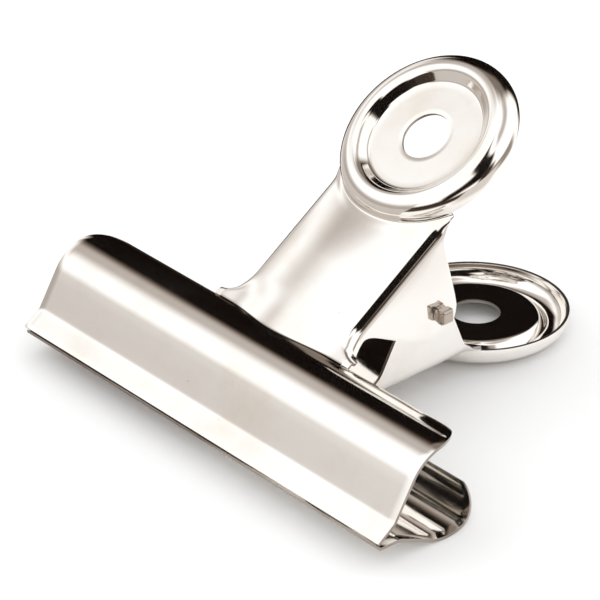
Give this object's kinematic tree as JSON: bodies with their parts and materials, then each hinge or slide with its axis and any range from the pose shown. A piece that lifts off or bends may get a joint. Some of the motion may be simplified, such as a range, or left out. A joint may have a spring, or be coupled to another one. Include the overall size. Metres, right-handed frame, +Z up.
{
  "type": "binder clip",
  "caption": "Round-head bulldog clip: two stamped, nickel-plated plates with rounded jaws and round pierced handles, on a sprung pivot pin.",
  "frame": {"origin": "middle of the bounding box on the table, with the clip lying on the back of its rear plate", "axes": "+X along the jaws and the pivot pin, +Y from the lips towards the round handles, +Z up"},
  "size_m": [0.076, 0.0666, 0.0427],
  "materials": {
    "nickel_plate": "polished nickel plate on stamped sheet steel",
    "nickel_pin": "nickel-plated steel, ends pressed square",
    "spring_steel": "drawn spring wire, lightly plated"
  },
  "bodies": {
    "rear": {"rear_plate": "nickel_plate", "pivot_pin": "nickel_pin", "torsion_spring": "spring_steel"},
    "front": {"front_plate": "nickel_plate"}
  },
  "joints": [
    {"name": "pivot", "type": "hinge", "parent": "rear", "child": "front", "pos_m": [0, 0.00156, 0.01429], "axis": [-1, 0, 0], "range_deg": [0, 60], "stiffness_Nm_per_rad": 0.6, "springref_deg": -45.84, "deforming": ["torsion_spring"]}
  ]
}
